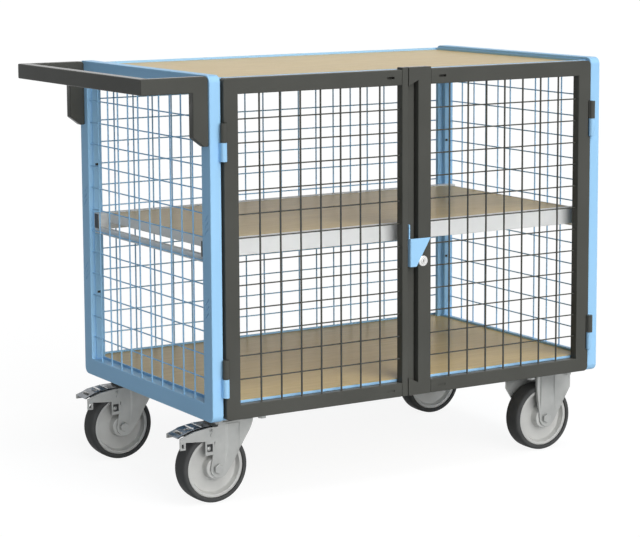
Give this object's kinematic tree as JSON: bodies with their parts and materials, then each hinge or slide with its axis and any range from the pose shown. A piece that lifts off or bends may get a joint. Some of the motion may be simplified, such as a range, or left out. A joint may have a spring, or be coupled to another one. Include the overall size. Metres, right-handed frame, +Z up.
{
  "type": "mesh cupboard trolley",
  "caption": "Mobile workbench trolley: a steel cupboard with mesh walls and mesh doors, a wooden top and shelf, a push handle, fixed casters and braked swivel casters.",
  "frame": {"origin": "on the floor, under the middle of the whole trolley's bounding box", "axes": "+X along the cupboard away from the push handle, the doors face -Y, +Z up"},
  "size_m": [1.175, 0.637, 0.92],
  "materials": {
    "blue_paint": "semi-gloss light blue powder coat",
    "grey_paint": "semi-matt dark grey powder coat",
    "wood": "sealed wood-based board",
    "galvanised": "smooth galvanised steel",
    "zinc": "zinc-plated steel",
    "lock_metal": "plated metal",
    "rim_plastic": "moulded light grey plastic",
    "tyre": "dark solid rubber",
    "black_plastic": "moulded black plastic"
  },
  "bodies": {
    "cabinet": {"back_mesh": "blue_paint", "bottom_board": "wood", "bottom_frame": "blue_paint", "caster_bolts": "zinc", "caster_carriers": "blue_paint", "frame_knuckles": "blue_paint", "front_right_axle": "zinc", "front_right_fork": "zinc", "handle_arms": "grey_paint", "handle_bolts": "zinc", "handle_grip": "grey_paint", "hinge_pins": "zinc", "left_end_frame": "blue_paint", "left_end_mesh": "blue_paint", "left_end_posts": "blue_paint", "rear_right_axle": "zinc", "rear_right_fork": "zinc", "right_end_frame": "blue_paint", "right_end_mesh": "blue_paint", "right_end_posts": "blue_paint", "shelf_beams": "galvanised", "shelf_board": "wood", "shelf_end_caps": "black_plastic", "shelf_rails": "galvanised", "shelf_ties": "blue_paint", "swivel_plates": "zinc", "top_board": "wood", "top_frame": "blue_paint"},
    "left_door": {"left_door_frame": "grey_paint", "left_meeting_stile": "grey_paint", "left_door_mesh": "grey_paint", "left_door_knuckles": "grey_paint"},
    "right_door": {"right_door_frame": "grey_paint", "right_meeting_stile": "grey_paint", "right_door_mesh": "grey_paint", "right_door_knuckles": "grey_paint", "pull_plate": "blue_paint", "lock_housing": "lock_metal", "lock_nut": "lock_metal"},
    "lock_core": {"lock_plug": "lock_metal", "lock_cam": "lock_metal"},
    "front_left_caster": {"front_left_fork": "zinc", "front_left_axle": "zinc", "front_left_pedal_pin": "zinc"},
    "front_left_brake": {"front_left_pedal": "zinc"},
    "front_left_wheel": {"front_left_rim": "rim_plastic", "front_left_tyre": "tyre"},
    "front_right_wheel": {"front_right_rim": "rim_plastic", "front_right_tyre": "tyre"},
    "rear_left_caster": {"rear_left_fork": "zinc", "rear_left_axle": "zinc", "rear_left_pedal_pin": "zinc"},
    "rear_left_brake": {"rear_left_pedal": "zinc"},
    "rear_left_wheel": {"rear_left_rim": "rim_plastic", "rear_left_tyre": "tyre"},
    "rear_right_wheel": {"rear_right_rim": "rim_plastic", "rear_right_tyre": "tyre"}
  },
  "joints": [
    {"name": "left_door_hinge", "type": "hinge", "parent": "cabinet", "child": "left_door", "pos_m": [-0.4045, -0.3095, 0.49], "axis": [0, 0, -1], "range_deg": [0, 180]},
    {"name": "right_door_hinge", "type": "hinge", "parent": "cabinet", "child": "right_door", "pos_m": [0.5595, -0.3095, 0.49], "axis": [0, 0, 1], "range_deg": [0, 180]},
    {"name": "lock_turn", "type": "hinge", "parent": "right_door", "child": "lock_core", "pos_m": [0.09375, -0.3015, 0.4915], "axis": [0, 1, 0], "range_deg": [0, 90]},
    {"name": "front_left_swivel", "type": "hinge", "parent": "cabinet", "child": "front_left_caster", "pos_m": [-0.3425, -0.2165, 0.175], "axis": [0, 0, 1], "continuous": true},
    {"name": "front_left_brake_pedal", "type": "hinge", "parent": "front_left_caster", "child": "front_left_brake", "pos_m": [-0.4085, -0.2165, 0.1635], "axis": [0, -1, 0], "range_deg": [0, 12]},
    {"name": "front_left_wheel_spin", "type": "hinge", "parent": "front_left_caster", "child": "front_left_wheel", "pos_m": [-0.3925, -0.2165, 0.078], "axis": [0, 1, 0], "continuous": true},
    {"name": "front_right_wheel_spin", "type": "hinge", "parent": "cabinet", "child": "front_right_wheel", "pos_m": [0.4825, -0.2165, 0.078], "axis": [0, 1, 0], "continuous": true},
    {"name": "rear_left_swivel", "type": "hinge", "parent": "cabinet", "child": "rear_left_caster", "pos_m": [-0.3425, 0.2335, 0.175], "axis": [0, 0, 1], "continuous": true},
    {"name": "rear_left_brake_pedal", "type": "hinge", "parent": "rear_left_caster", "child": "rear_left_brake", "pos_m": [-0.4085, 0.2335, 0.1635], "axis": [0, -1, 0], "range_deg": [0, 12]},
    {"name": "rear_left_wheel_spin", "type": "hinge", "parent": "rear_left_caster", "child": "rear_left_wheel", "pos_m": [-0.3925, 0.2335, 0.078], "axis": [0, 1, 0], "continuous": true},
    {"name": "rear_right_wheel_spin", "type": "hinge", "parent": "cabinet", "child": "rear_right_wheel", "pos_m": [0.4825, 0.2335, 0.078], "axis": [0, 1, 0], "continuous": true}
  ]
}
